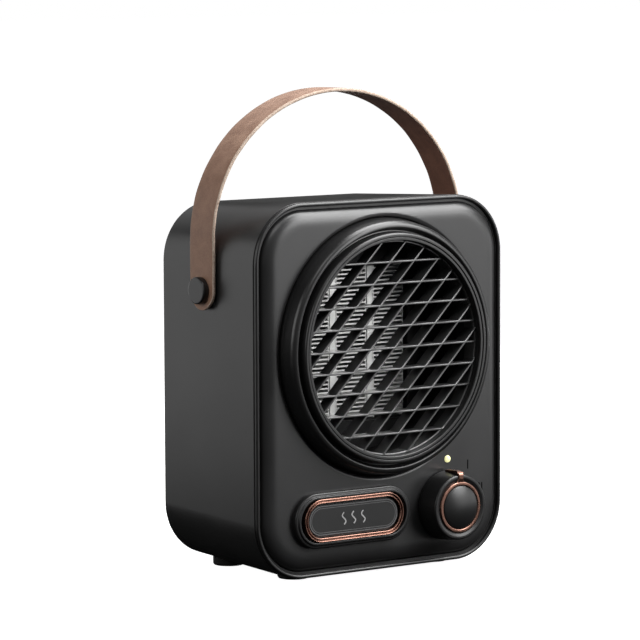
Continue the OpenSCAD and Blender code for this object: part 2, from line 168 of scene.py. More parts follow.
def finish_piece(name, mesh, sharp=32):
    """Welds the mesh, turns its faces outward, shades it smooth and links it as an object."""
    bm = bmesh.new()
    bm.from_mesh(mesh)
    bmesh.ops.remove_doubles(bm, verts=bm.verts, dist=0.002 * MM)
    bmesh.ops.recalc_face_normals(bm, faces=bm.faces)
    bm.to_mesh(mesh)
    bm.free()
    mesh.shade_smooth()
    mesh.set_sharp_from_angle(angle=math.radians(sharp))
    piece = bpy.data.objects.new(name, mesh)
    bpy.context.scene.collection.objects.link(piece)
    even = piece.modifiers.new("even_normals", "WEIGHTED_NORMAL")
    even.keep_sharp = True
    return piece


def skin_faces(rows, wrap_rows):
    count, size = len(rows), len(rows[0])
    faces = []
    for i in range(count if wrap_rows else count - 1):
        for j in range(size):
            i2, j2 = (i + 1) % count, (j + 1) % size
            faces.append((i * size + j, i * size + j2, i2 * size + j2, i2 * size + j))
    return faces


def skin(name, rows, material, wrap_rows=False, caps=False, sharp=32):
    """A surface through equal rows of points; each row closes on itself."""
    verts = [p for row in rows for p in row]
    faces = skin_faces(rows, wrap_rows)
    if caps:
        size = len(rows[0])
        faces.append(tuple(range(size)))
        faces.append(tuple(len(verts) - size + k for k in range(size)))
    return make_piece(name, verts, faces, [material], sharp=sharp)


def lathe_rows(profile, origin, axis, steps):
    axis = Vector(axis)
    side = axis.orthogonal().normalized()
    up = axis.cross(side)
    origin = Vector(origin)
    return [
        [origin + axis * along + radius * (side * math.cos(t) + up * math.sin(t))
         for t in (2 * math.pi * k / steps for k in range(steps))]
        for radius, along in profile
    ]


def lathe(name, profile, origin, axis, material, ring=False, steps=128, sharp=32):
    """Turns (radius, distance along the axis) points; a ring's profile closes on itself."""
    rows = lathe_rows(profile, origin, axis, steps)
    return skin(name, rows, material, wrap_rows=ring, sharp=sharp)


def swept_frame(name, section, width, height, radius, centre, material, grow=None, steps=16):
    """Sweeps a closed section of (inset, y) round a rectangle with round corners."""
    rows = []
    for inset, y in section:
        corner = radius - inset + (grow(y) if grow else 0)
        loop = rrect_loop(width - 2 * inset, height - 2 * inset, max(corner, 0.05), steps)
        rows.append([(centre[0] + x, y, centre[1] + z) for x, z in loop])
    return skin(name, rows, material, wrap_rows=True)


def ribbon(path, half):
    """Both sides of a flat path, as a closed outline of (a, b) points."""
    left, right = [], []
    for i, p in enumerate(path):
        ahead = Vector(path[min(i + 1, len(path) - 1)]) - Vector(path[max(i - 1, 0)])
        across = Vector((-ahead.y, ahead.x)).normalized()
        left.append(tuple(Vector(p) + across * half))
        right.append(tuple(Vector(p) - across * half))
    return left + right[::-1]


def refined(node, name, width, material, segments=2):
    """A CAD node's own shape with its edges eased by width."""
    bm = bmesh.new()
    bm.from_mesh(frame["nodes"][node].data)
    bmesh.ops.remove_doubles(bm, verts=bm.verts, dist=0.002 * MM)
    bmesh.ops.dissolve_limit(bm, angle_limit=math.radians(0.5), verts=bm.verts, edges=bm.edges)
    mesh = bpy.data.meshes.new(name)
    bm.to_mesh(mesh)
    bm.free()
    mesh.materials.append(material)
    piece = finish_piece(name, mesh)
    ease = piece.modifiers.new("eased_edges", "BEVEL")
    ease.width = width * MM
    ease.segments = segments
    ease.limit_method = "ANGLE"
    ease.angle_limit = math.radians(40)
    piece.modifiers.move(1, 0)
    return piece


def joined(name, pieces, material):
    """One solid from several that cross."""
    first = pieces[0]
    for other in pieces[1:]:
        cut = first.modifiers.new("join", "BOOLEAN")
        cut.operation = "UNION"
        cut.solver = "EXACT"
        cut.object = other
    first.modifiers.remove(first.modifiers["even_normals"])
    seen = first.evaluated_get(bpy.context.evaluated_depsgraph_get())
    mesh = bpy.data.meshes.new_from_object(seen)
    mesh.name = name
    mesh.materials.clear()
    mesh.materials.append(material)
    for old in pieces:
        bpy.data.objects.remove(old)
    return finish_piece(name, mesh)


def install(piece, body, slot, *nodes):
    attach(piece, body)
    if nodes:
        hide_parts(*nodes)
    return piece


# ---- material nodes ----
class Look:
    """A Principled material and the few node recipes that the pieces share."""

    def __init__(self, name, colour, rough, metal=0.0, specular=0.5):
        self.material = bpy.data.materials.new(name)
        self.material.use_nodes = True
        self.nodes = self.material.node_tree.nodes
        self.links = self.material.node_tree.links
        self.shader = self.nodes["Principled BSDF"]
        self.shader.inputs["Base Color"].default_value = (*colour, 1)
        self.shader.inputs["Roughness"].default_value = rough
        self.shader.inputs["Metallic"].default_value = metal
        self.shader.inputs["Specular IOR Level"].default_value = specular
        self.place = self.nodes.new("ShaderNodeTexCoord").outputs["Object"]

    def stretched(self, scale):
        mapping = self.nodes.new("ShaderNodeMapping")
        mapping.inputs["Scale"].default_value = scale
        self.links.new(self.place, mapping.inputs["Vector"])
        return mapping.outputs["Vector"]

    def noise(self, size_mm, detail=3.0, stretch=None, distort=0.0):
        """Cloudy noise whose blotches are about size_mm across."""
        node = self.nodes.new("ShaderNodeTexNoise")
        node.inputs["Scale"].default_value = 1 / (size_mm * MM)
        node.inputs["Detail"].default_value = detail
        node.inputs["Distortion"].default_value = distort
        self.links.new(self.stretched(stretch) if stretch else self.place, node.inputs["Vector"])
        return node.outputs["Fac"]

    def cells(self, size_mm, feature="F1"):
        node = self.nodes.new("ShaderNodeTexVoronoi")
        node.feature = feature
        node.inputs["Scale"].default_value = 1 / (size_mm * MM)
        self.links.new(self.place, node.inputs["Vector"])
        return node.outputs["Distance"]

    def spread(self, value, low, high, start=0.3, end=0.7):
        node = self.nodes.new("ShaderNodeMapRange")
        for socket, number in (("From Min", start), ("From Max", end), ("To Min", low), ("To Max", high)):
            node.inputs[socket].default_value = number
        self.links.new(value, node.inputs["Value"])
        return node.outputs["Result"]

    def blended(self, value, low_colour, high_colour, start=0.35, end=0.65):
        node = self.nodes.new("ShaderNodeValToRGB")
        node.color_ramp.elements[0].position = start
        node.color_ramp.elements[1].position = end
        node.color_ramp.elements[0].color = (*low_colour, 1)
        node.color_ramp.elements[1].color = (*high_colour, 1)
        self.links.new(value, node.inputs["Fac"])
        return node.outputs["Color"]

    def product(self, colour, other, amount=1.0):
        node = self.nodes.new("ShaderNodeMixRGB")
        node.blend_type = "MULTIPLY"
        node.inputs["Fac"].default_value = amount
        self.links.new(colour, node.inputs["Color1"])
        self.links.new(other, node.inputs["Color2"])
        return node.outputs["Color"]

    def total(self, first, second, share):
        node = self.nodes.new("ShaderNodeMath")
        node.operation = "MULTIPLY_ADD"
        self.links.new(second, node.inputs[0])
        node.inputs[1].default_value = share
        self.links.new(first, node.inputs[2])
        return node.outputs["Value"]

    def colour(self, socket):
        self.links.new(socket, self.shader.inputs["Base Color"])

    def rough(self, socket):
        self.links.new(socket, self.shader.inputs["Roughness"])

    def bump(self, height, depth_mm, strength=1.0):
        node = self.nodes.new("ShaderNodeBump")
        node.inputs["Strength"].default_value = strength
        node.inputs["Distance"].default_value = depth_mm * MM
        self.links.new(height, node.inputs["Height"])
        self.links.new(node.outputs["Normal"], self.shader.inputs["Normal"])


def moulded(name, colour, rough, grain_mm=0.35, depth_mm=0.006, specular=0.5):
    """Injection-moulded plastic: slightly cloudy gloss over a fine spark-eroded grain."""
    look = Look(name, colour, rough, specular=specular)
    cloud = look.noise(34, detail=4)
    fine = look.noise(grain_mm, detail=2)
    dark = tuple(0.88 * c for c in colour)
    light = tuple(1.12 * c for c in colour)
    look.colour(look.blended(cloud, dark, light))
    look.rough(look.spread(cloud, rough - 0.025, rough + 0.025))
    look.bump(fine, depth_mm)
    return look.material


def metal(name, colour, rough, streak=(1, 1, 12), size_mm=3.0, depth_mm=0.004):
    """Bare or plated metal with faint drawing marks."""
    look = Look(name, colour, rough, metal=1.0)
    marks = look.noise(size_mm, detail=4, stretch=streak)
    cloud = look.noise(9, detail=2)
    look.colour(look.blended(cloud, tuple(0.9 * c for c in colour), colour))
    look.rough(look.spread(marks, rough - 0.06, rough + 0.08))
    if depth_mm:
        look.bump(marks, depth_mm)
    return look.material


def leather(name, dark, light, rough):
    """Oiled hide: pebbled grain with painted shade in its creases, pores and slow changes of tone."""
    look = Look(name, light, rough, specular=0.35)
    grain = look.cells(1.1, "DISTANCE_TO_EDGE")
    pores = look.noise(0.5, detail=3)
    tone = look.noise(7, detail=6, distort=0.8)
    base = look.blended(tone, dark, light, 0.3, 0.72)
    # painted shade: the colour darkens along the grain's creases, where the bump dips
    crease_shade = look.blended(grain, (0.72, 0.70, 0.68), (1, 1, 1), 0.0, 0.12)
    look.colour(look.product(base, crease_shade, 0.55))
    look.rough(look.spread(tone, rough - 0.08, rough + 0.1))
    look.bump(look.total(grain, pores, 0.25), 0.1, 0.5)
    look.shader.inputs["Sheen Weight"].default_value = 0.08
    look.shader.inputs["Sheen Roughness"].default_value = 0.5
    return look.material


def raw_edge(name, dark, light):
    """The cut edge of the hide: pale fibres in layers along the strap."""
    look = Look(name, light, 0.85, specular=0.2)
    fibres = look.noise(0.9, detail=5, distort=1.5)
    blots = look.noise(4, detail=3)
    base = look.blended(fibres, dark, light, 0.3, 0.7)
    look.colour(look.product(base, look.blended(blots, (0.75, 0.7, 0.66), (1, 1, 1)), 0.6))
    look.bump(fibres, 0.12, 0.7)
    return look.material


def rubbery(name, colour):
    look = Look(name, colour, 0.72, specular=0.3)
    dust = look.noise(5, detail=5)
    look.colour(look.blended(dust, colour, tuple(1.7 * c + 0.004 for c in colour), 0.45, 0.8))
    look.bump(look.noise(0.4), 0.015)
    return look.material


def glowing(name, colour, glow, strength):
    look = Look(name, colour, 0.25)
    cloud = look.noise(0.8)
    look.colour(look.blended(cloud, tuple(0.85 * c for c in colour), colour))
    look.shader.inputs["Emission Color"].default_value = (*glow, 1)
    look.shader.inputs["Emission Strength"].default_value = strength
    look.shader.inputs["Coat Weight"].default_value = 0.6
    return look.material


LOOKS = {
    "shell_plastic": moulded("charcoal_satin", (0.015, 0.015, 0.0152), 0.35),
    "panel_plastic": moulded("charcoal_face", (0.018, 0.018, 0.0183), 0.31),
    "bezel_plastic": moulded("charcoal_gloss", (0.009, 0.009, 0.0092), 0.33, depth_mm=0.003),
    "ring_plastic": moulded("charcoal_ring", (0.011, 0.011, 0.0112), 0.31, depth_mm=0.003),
    "grille_plastic": moulded("grey_satin", (0.032, 0.032, 0.0323), 0.3, depth_mm=0.003, specular=1.0),
    "black_plastic": moulded("black_matt", (0.007, 0.007, 0.0071), 0.48, depth_mm=0.012, specular=0.35),
    "plate_plastic": moulded("black_plate", (0.009, 0.009, 0.0092), 0.38),
    "knob_plastic": moulded("black_knob", (0.009, 0.009, 0.0092), 0.33, depth_mm=0.004),
    "copper_trim": metal("rose_copper", (0.30, 0.163, 0.124), 0.27, streak=(1, 1, 1), size_mm=5, depth_mm=0),
    "leather": leather("brown_hide", (0.235, 0.127, 0.082), (0.335, 0.20, 0.137), 0.55),
    # painted shade: the strap's inner face gets a darker, redder copy of the hide
    "leather_inner": leather("hide_inner_painted_shade", (0.165, 0.068, 0.04), (0.24, 0.108, 0.068), 0.75),
    "leather_edge": raw_edge("raw_edge", (0.34, 0.245, 0.19), (0.66, 0.55, 0.46)),
    "button_finish": moulded("button_grey", (0.012, 0.012, 0.0125), 0.34, depth_mm=0.005),
    "rubber": rubbery("foot_rubber", (0.006, 0.006, 0.006)),
    "steel": metal("zinc_plate", (0.56, 0.56, 0.55), 0.3),
    "aluminium": metal("bright_aluminium", (0.93, 0.93, 0.91), 0.38, streak=(1, 6, 1), depth_mm=0.001),
    "brass": metal("plain_brass", (0.76, 0.55, 0.26), 0.3),
    "bakelite": moulded("cream_moulding", (0.62, 0.58, 0.48), 0.45),
    "lens": glowing("glowing_lens", (0.80, 0.80, 0.45), (1.0, 0.98, 0.50), 0.75),
    "board": moulded("green_board", (0.03, 0.11, 0.045), 0.4),
    "print": moulded("grey_print", (0.36, 0.36, 0.36), 0.5, depth_mm=0.002),
    "grey_line": moulded("faded_print", (0.11, 0.11, 0.112), 0.5, depth_mm=0.002),
    "dark_print": moulded("black_print", (0.002, 0.002, 0.002), 0.6, depth_mm=0.002, specular=0.1),
    "wire_jacket": rubbery("red_sleeve", (0.20, 0.02, 0.016)),
}


# ---- casing ----
def corner_growth(y):
    """The taper draws the sides in faster than it shrinks the corner radius."""
    return (REAR_CORNER_R - CORNER_R + TAPER) * (y - RIM_Y) / (BACK_Y - RIM_Y)


def casing():
    section = rounded([
        (0, RIM_Y, 0.35), (WALL, RIM_Y, 0.4), (WALL + TAPER, BACK_Y, 0.5), (TAPER, BACK_Y, 1.3),
    ])
    piece = swept_frame("casing", section, SHELL_W, SHELL_H, CORNER_R, (0, MID_Z),
                        LOOKS["shell_plastic"], corner_growth, steps=24)
    return install(piece, "body", "shell_plastic", "shell")


def front_border():
    front, back = box_mm("front_bezel")
    width = 2.15
    groove_floor = RIM_Y - 0.1
    section = rounded([
        (0.2, RIM_Y - 0.5, 0.2), (0.2, front.y, 0.8), (width, front.y, 0.9), (width, groove_floor, 0.3),
        (3.4, groove_floor), (3.4, back.y), (2.9, back.y), (2.9, RIM_Y - 0.5),
    ])
    piece = swept_frame("front_border", section, SHELL_W, SHELL_H, CORNER_R, (0, MID_Z),
                        LOOKS["bezel_plastic"], steps=24)
    return install(piece, "body", "bezel_plastic", "front_bezel")


EDGE_INSET = 3.5
ROLL_W = 9.5
ROLL_BASE = 1.0
ROLL_POWER = 2.7
HOLE_R = 64.3
HOLE_EDGE_R = 2.2


def inside_distance(x, z):
    """How far a point lies inside the front face's outline."""
    radius = CORNER_R - EDGE_INSET
    dx = abs(x) - (SHELL_W / 2 - EDGE_INSET - radius)
    dz = abs(z - MID_Z) - (SHELL_H / 2 - EDGE_INSET - radius)
    outside = math.hypot(max(dx, 0), max(dz, 0)) + min(max(dx, dz), 0)
    return radius - outside


def face_height(depth_in):
    """y of the pillowed face, depth_in from its edge: a quarter superellipse, then flat."""
    share = min(max(depth_in / ROLL_W, 0), 1)
    rise = RIM_Y + ROLL_BASE - FACE_Y
    return RIM_Y + ROLL_BASE - rise * math.sqrt(1 - (1 - share) ** ROLL_POWER)


def reach(angle, depth_in):
    """How far out from the outlet's centre the face is depth_in inside its outline."""
    near, far = HOLE_R, 160.0
    for _ in range(40):
        trial = (near + far) / 2
        x, z = trial * math.cos(angle), OUT_Z + trial * math.sin(angle)
        if inside_distance(x, z) > depth_in:
            near = trial
        else:
            far = trial
    return near


def height_at(angle, radius):
    """y of the face, radius away from the outlet's centre."""
    return face_height(inside_distance(radius * math.cos(angle), OUT_Z + radius * math.sin(angle)))


def front_face():
    """Rows round the outlet: the back edge, the outer roll, the flat, and the hole's edge."""
    rays = 320
    roll_steps = 12
    flat_steps = 4
    hole = HOLE_R + HOLE_EDGE_R
    rows = []

    def add_row(place):
        row = []
        for k in range(rays):
            angle = 2 * math.pi * k / rays
            radius, y = place(angle)
            row.append((radius * math.cos(angle), y, OUT_Z + radius * math.sin(angle)))
        rows.append(row)

    edges = {}

    def roll(angle, k):
        depth_in = ROLL_W * (1 - math.cos(math.pi / 2 * k / roll_steps))
        key = (angle, k)
        if key not in edges:
            edges[key] = max(reach(angle, depth_in), hole)
        radius = edges[key]
        return radius, height_at(angle, radius)

    back = RIM_Y + 3
    add_row(lambda a: (roll(a, 0)[0] - 2.4, back))
    add_row(lambda a: (roll(a, 0)[0], back))
    for k in range(roll_steps + 1):
        add_row(lambda a, k=k: roll(a, k))
    for k in range(1, flat_steps + 1):
        def flat(a, share=k / flat_steps):
            outer = roll(a, roll_steps)[0]
            radius = outer + (hole - outer) * share
            return radius, height_at(a, radius)
        add_row(flat)
    for k in range(1, 7):
        turn = math.pi / 2 * k / 6
        add_row(lambda a, t=turn: (HOLE_R + HOLE_EDGE_R * (1 - math.sin(t)),
                                   height_at(a, hole) + HOLE_EDGE_R * (1 - math.cos(t))))
    add_row(lambda a: (HOLE_R, RIM_Y + 3))
    piece = skin("front_face", rows, LOOKS["panel_plastic"], wrap_rows=True)
    return install(piece, "body", "panel_plastic", "front_panel")


# ---- outlet ----
def outlet_surround():
    """Steep barrel, narrow land, cove and a deep lip, as (radius, distance behind the lip)."""
    rise = FACE_Y - LIP_Y
    duct = box_mm("outlet_ring")[1].y - LIP_Y
    profile = rounded([
        (64.2, rise + 5), (64.2, rise + 1.4), (63.6, rise - 0.4, 2), (62.8, rise - 6.6, 3.5),
        (61.6, rise - 8.2, 2.4), (59.5, rise - 8.5, 0.9), (58.5, rise - 5.0, 0.8),
        (57.5, rise - 5.2, 0.4), (57.15, 0, 1.5),
        (55.3, 0, 0.25), (55.3, 1.6), (55.0, 1.6), (55.0, 0.3, 0.25), (OPENING_R, 0.3, 0.5),
        (OPENING_R, duct), (56.4, duct), (56.4, rise - 1), (60.4, rise - 1), (62.2, rise + 5),
    ], steps=7)
    piece = lathe("outlet_surround", profile, (0, LIP_Y, OUT_Z), (0, 1, 0), LOOKS["ring_plastic"],
                  ring=True, steps=192)
    return install(piece, "body", "panel_plastic", "outlet_ring")


def grille_rib(name, offset, tilt, radius, depth):
    """One rib across the outlet; its ends follow the circle and its front edge is round."""
    section = rounded([
        (-RIB_T / 2, 0, 0.35), (RIB_T / 2, 0, 0.35), (RIB_T / 2, depth), (-RIB_T / 2, depth),
    ], steps=4)
    along = Vector((math.cos(tilt), 0, math.sin(tilt)))
    across = Vector((-math.sin(tilt), 0, math.cos(tilt)))
    rows = []
    for end in (-1, 1):
        row = []
        for shift, back in section:
            here = offset + shift
            half = math.sqrt(radius ** 2 - here ** 2)
            point = along * (end * half) + across * here
            row.append((point.x, GRILLE_Y + back, OUT_Z + point.z))
        rows.append(row)
    return skin(name, rows, LOOKS["grille_plastic"], caps=True)


def grille():
    """Level and slanted ribs in a thin rim, joined into one solid."""
    radius = OPENING_R - 0.25
    places = [i * RIB_PITCH for i in range(-RIB_SPAN, RIB_SPAN + 1)]
    ribs = []
    level = [grille_rib("level", at, 0, radius, RIB_DEPTH) for at in places]
    slanted = [grille_rib("slanted", at + SLANT_SHIFT, math.radians(45), radius, RIB_DEPTH - 0.2)
               for at in places]
    for group in (level, slanted):
        meshes = bmesh.new()
        for rib in group:
            meshes.from_mesh(rib.data)
            bpy.data.objects.remove(rib)
        mesh = bpy.data.meshes.new("ribs")
        meshes.to_mesh(mesh)
        meshes.free()
        mesh.materials.append(LOOKS["grille_plastic"])
        ribs.append(finish_piece("ribs", mesh))
    rim = rounded([(radius + 0.2, 0.3, 0.2), (radius + 0.2, RIB_DEPTH), (radius - 0.8, RIB_DEPTH),
                   (radius - 0.8, 0.3, 0.4)], steps=3)
    ribs.append(lathe("rim", rim, (0, GRILLE_Y, OUT_Z), (0, 1, 0), LOOKS["grille_plastic"],
                      ring=True, steps=160))
    piece = joined("grille", ribs, LOOKS["grille_plastic"])
    return install(piece, "body", "grille_plastic", "outlet_grille")


# ---- knob ----
def knob_pieces():
    face = FACE_Y - KNOB_Y
    axis_point = (KNOB_X, KNOB_Y, KNOB_Z)
    body = rounded([
        (0, 2.3), (10.95, 2.3), (10.95, 1.0), (13.25, 1.0), (13.3, 0.75, 0.2), (14.7, 0.25, 0.8),
        (16.3, 0.25, 1.5), (16.9, 5), (17.5, face - 0.6, 0.5), (16.4, face - 0.5), (0, face - 0.5),
    ], closed=False)
    piece = lathe("knob_skirt", body, axis_point, (0, 1, 0), LOOKS["knob_plastic"], steps=160)
    install(piece, "knob", "knob_plastic", "knob_body")
    cap_r = 10.85
    dome = KNOB_Y - box_mm("knob_cap")[0].y
    ball = (cap_r ** 2 + dome ** 2) / (2 * dome)
    crown = [(ball * math.sin(t), ball - dome - ball * math.cos(t))
             for t in (math.asin(cap_r / ball) * k / 14 for k in range(15))]
    profile = crown[:-1] + rounded([crown[-2], (cap_r, 0.1, 0.5), (cap_r, 2.2)], closed=False)[1:]
    piece = lathe("knob_button", profile + [(0, 2.2)], axis_point, (0, 1, 0), LOOKS["knob_plastic"],
                  steps=128)
    install(piece, "knob", "knob_plastic", "knob_cap")


def knob_copper():
    """Copper ring and the pointer that runs from it over the rim and back along the top."""
    axis_point = (KNOB_X, KNOB_Y, KNOB_Z)
    section = rounded([(11.0, 1.1), (11.0, 0.0, 0.6), (12.9, 0.0, 0.9), (12.9, 1.1)], steps=7)
    ring = lathe("ring", section, axis_point, (0, 1, 0), LOOKS["copper_trim"], ring=True, steps=128)
    # the pointer as (height over the axis, distance behind the knob's front)
    path = rounded([(12.2, 0.6), (14.4, 0.0, 1.5), (17.2, -0.1, 1.5), (18.1, 2.2, 2.2), (17.9, 10.5)],
                   steps=8, closed=False)
    rows = []
    for i, (up, back) in enumerate(path):
        ahead = Vector(path[min(i + 1, len(path) - 1)]) - Vector(path[max(i - 1, 0)])
        out = Vector((ahead.y, -ahead.x)).normalized()
        flare = 1.3 * max(0, (13.7 - up) / 1.5) ** 2
        bulb = 0.45 * max(0, 1 - abs(up - 17.6) / 1.2 - abs(back - 0.6) / 1.8)
        half_w = 1.6 + flare + bulb
        loop = rounded([(-half_w, -0.75), (half_w, -0.75), (half_w, 0.35, 0.5), (-half_w, 0.35, 0.5)],
                       steps=3)
        rows.append([
            (KNOB_X + side, KNOB_Y + back + out.y * rise, KNOB_Z + up + out.x * rise) for side, rise in loop
        ])
    pointer = skin("pointer", rows, LOOKS["copper_trim"], caps=True)
    piece = joined("knob_copper", [ring, pointer], LOOKS["copper_trim"])
    return install(piece, "knob", "copper_trim", "knob_trim")


def lamp():
    low, high = box_mm("indicator_lens")
    radius = (high.x - low.x) / 2
    dome = FACE_Y - low.y
    profile = [(radius * math.sin(t), dome * (1 - math.cos(t)))
               for t in (math.pi / 2 * k / 10 for k in range(11))]
    profile += [(radius, high.y - low.y - 0.3), (radius - 0.3, high.y - low.y), (0, high.y - low.y)]
    piece = lathe("lamp_lens", profile, (LED.x, low.y, LED.z), (0, 1, 0), LOOKS["lens"], steps=48)
    return install(piece, "body", "lens", "indicator_lens")


# ---- nameplate ----
def nameplate():
    """Black surround, channelled copper trim and a plate with two lines and three heat waves."""
    low, high = box_mm("nameplate_surround")
    width, height = high.x - low.x, high.z - low.z
    centre = (PLATE.x, PLATE.z)
    base = FACE_Y + 0.3

    def around(name, w, h, section, slot, look, node=None):
        piece = swept_frame(name, section, w, h, h / 2 - 0.02, centre, LOOKS[look], steps=24)
        return install(piece, "body", slot, *([node] if node else []))

    around("plate_surround", width, height, rounded([
        (0, base), (0, FACE_Y - 3.0, 1.3), (1.6, FACE_Y - 3.1, 0.5), (1.9, FACE_Y - 3.8, 0.5),
        (3.1, FACE_Y - 3.8, 0.3), (3.1, FACE_Y - 1.5), (4.6, FACE_Y - 1.5), (4.6, base),
    ]), "black_plastic", "knob_plastic", "nameplate_surround")
    trim_w, trim_h = width - 10.1, height - 6.1
    around("plate_trim", trim_w, trim_h, rounded([
        (0, FACE_Y - 1), (0, FACE_Y - 4.2, 0.45), (0.8, FACE_Y - 4.2, 0.3), (0.85, FACE_Y - 3.2),
        (1.45, FACE_Y - 3.2), (1.5, FACE_Y - 4.1, 0.25), (2.25, FACE_Y - 4.1, 0.45),
        (2.25, FACE_Y - 1),
    ], steps=5), "copper_trim", "copper_trim", "nameplate_trim")
    plate_w, plate_h = width - 14.7, height - 10.7
    front = FACE_Y - 3.0
    rows = []
    for inset, y in [(0, base), (0, front + 1.5), (0.7, front + 1.5), (0.75, front + 0.1), (0.9, front)]:
        loop = rrect_loop(plate_w - 2 * inset, plate_h - 2 * inset, plate_h / 2 - inset - 0.02, 24)
        rows.append([(centre[0] + x, y, centre[1] + z) for x, z in loop])
    piece = skin("plate_blank", rows, LOOKS["plate_plastic"], caps=True)
    install(piece, "body", "black_plastic", "nameplate_plate")
    for name, inset, wide in (("plate_line_outer", 1.2, 0.45), ("plate_line_inner", 2.3, 0.25)):
        around(name, plate_w - 2 * inset, plate_h - 2 * inset,
               [(0, front + 0.1), (0, front - 0.08), (wide, front - 0.08), (wide, front + 0.1)],
               "print", "grey_line")
    verts, faces = [], []
    for place in (-6, 0, 6):
        wave = [(centre[0] + place + 1.1 * math.sin(2 * math.pi * k / 24), centre[1] - 3 + 6 * k / 24)
                for k in range(25)]
        outline = ribbon(wave, 0.32)
        start, count = len(verts), len(outline)
        for y in (front + 0.1, front - 0.06):
            verts += [(x, y, z) for x, z in outline]
        for k in range(count):
            k2 = (k + 1) % count
            faces.append((start + k, start + k2, start + count + k2, start + count + k))
        for b in (start, start + count):
            for k in range(count // 2 - 1):
                faces.append((b + k, b + k + 1, b + count - 2 - k, b + count - 1 - k))
    install(make_piece("plate_heat_waves", verts, faces, [LOOKS["print"]]), "body", "print")


# ---- strap and pivots ----
def strap():
    """One band over the arch: round ends at the pivots, two straight legs, half an ellipse."""
    half_w = (strap_high.y - strap_low.y) / 2
    span = strap_high.x
    rise = strap_high.z - PIVOT_Z - LEG_H
    edge = 0.55
    stations = []
    for k in range(1, 13):
        turn = math.radians(-90 + 90 * k / 12)
        stations.append((span, half_w * math.sin(turn), 1.0, 0.0, half_w * math.cos(turn)))
    for k in range(1, 6):
        stations.append((span, LEG_H * k / 6, 1.0, 0.0, half_w))
    arch_steps = 120
    for k in range(arch_steps + 1):
        turn = math.pi * k / arch_steps
        nx, nz = math.cos(turn) / span, math.sin(turn) / rise
        size = math.hypot(nx, nz)
        stations.append((span * math.cos(turn), LEG_H + rise * math.sin(turn), nx / size, nz / size, half_w))
    stations += [(-x, z, -nx, nz, w) for x, z, nx, nz, w in reversed(stations[:17])]
    verts, faces, slots = [], [], []
    across = 10
    turn_steps = 5
    for i, (x, z, nx, nz, w) in enumerate(stations):
        # the cut edge isn't quite straight
        waver = 0.10 * math.sin(i * 0.37) + 0.07 * math.sin(i * 0.91 + 1)
        w = max(w - 0.17 + waver, 0.4)
        flat = w - min(edge, 0.5 * w)
        loop = [(-flat + 2 * flat * k / across, 0.0) for k in range(across + 1)]
        for k in range(1, turn_steps):
            t = math.pi * k / turn_steps
            loop.append((flat + (w - flat) * math.sin(t) ** 0.7, STRAP_T / 2 * (1 - math.cos(t))))
        loop += [(flat - 2 * flat * k / across, STRAP_T) for k in range(across + 1)]
        for k in range(1, turn_steps):
            t = math.pi * k / turn_steps
            loop.append((-flat - (w - flat) * math.sin(t) ** 0.7, STRAP_T / 2 * (1 + math.cos(t))))
        for y, deep in loop:
            crown = 0.16 * (y / half_w) ** 4 if deep < 0.9 else 0.0
            depth = deep + crown
            verts.append((x - nx * depth, y, PIVOT_Z + z - nz * depth))
    count = len(verts) // len(stations)
    for i in range(len(stations) - 1):
        for j in range(count):
            j2 = (j + 1) % count
            faces.append((i * count + j, i * count + j2, (i + 1) * count + j2, (i + 1) * count + j))
            # slot 1, the inner face, takes the darker hide as painted shade under the arch
            if j < across:
                slots.append(0)
            elif across + turn_steps <= j < 2 * across + turn_steps:
                slots.append(1)
            else:
                slots.append(2)
    for first in (0, len(verts) - count):
        faces.append(tuple(first + k for k in range(count)))
        slots.append(2)
    piece = make_piece("strap", verts, faces,
                       [LOOKS["leather"], LOOKS["leather_inner"], LOOKS["leather_edge"]], slots, sharp=60)
    return install(piece, "handle", "leather", "handle_strap")


def pivots():
    low, high = box_mm("pivot_buttons")
    button_r = (high.z - low.z) / 2
    bottom = strap_high.x + 0.2
    top = high.x
    pin_in = 66
    stubs = []
    for side in (-1, 1):
        profile = rounded([
            (0, top), (button_r - 1.6, top), (button_r, top, 0.9),
            (button_r, bottom, 0.3), (2.95, bottom), (2.95, pin_in, 0.4), (0, pin_in),
        ], closed=False)
        stubs.append(lathe(f"pivot_button_{'left' if side < 0 else 'right'}", profile,
                           (0, 0, PIVOT_Z), (side, 0, 0), LOOKS["button_finish"], steps=96))
    for k, stub in enumerate(stubs):
        install(stub, "body", "button_finish", *(["pivot_buttons"] if k == 0 else []))


def feet():
    for node, name in (("front_feet", "front_foot"), ("rear_feet", "rear_foot")):
        low, high = box_mm(node)
        radius = (high.y - low.y) / 2
        y = (low.y + high.y) / 2
        x = high.x - radius
        for side in (-1, 1):
            top = 6.0 if node == "rear_feet" else 3.6
            profile = rounded([
                (0, 0.25), (radius - 2.6, 0.25, 0.3), (radius - 2.2, 0, 0.3), (radius - 0.6, 0, 0.5),
                (radius, 0.9, 0.5), (radius, top, 0.3), (0, top),
            ], closed=False)
            foot = lathe(f"{name}_{'left' if side < 0 else 'right'}", profile, (side * x, y, 0), (0, 0, 1),
                         LOOKS["rubber"], steps=64)
            install(foot, "body", "rubber", *([node] if side < 0 else []))


# ---- rear ----
def strain_relief():
    low, high = box_mm("cord_gland")
    centre = middle("cord_gland")
    length = high.y - low.y
    bore = 3.3
    flange = 8
    corners = [(bore, 0), (6.8, 0), (6.8, flange, 0), (9.5, flange, 0.5), (9.5, flange + 4, 1.0),
               (7.9, flange + 4.2, 0.3)]
    ribs = 5
    start, end = flange + 5.2, length - 1.0
    for k in range(ribs):
        at = start + (end - start) * k / ribs
        step = (end - start) / ribs
        radius = 7.6 - 2.0 * k / (ribs - 1)
        corners += [(radius, at, 0.25), (radius - 0.2, at + 0.55 * step, 0.25),
                    (radius - 1.3, at + 0.6 * step, 0.2), (radius - 1.35, at + 0.95 * step, 0.2)]
    corners += [(5.4, length - 0.9, 0.3), (5.3, length, 0.4), (bore, length, 0.3)]
    piece = lathe("strain_relief", rounded(corners, steps=4), (centre.x, low.y, centre.z), (0, 1, 0),
                  LOOKS["rubber"], ring=True, steps=72)
    return install(piece, "body", "rubber", "cord_gland")


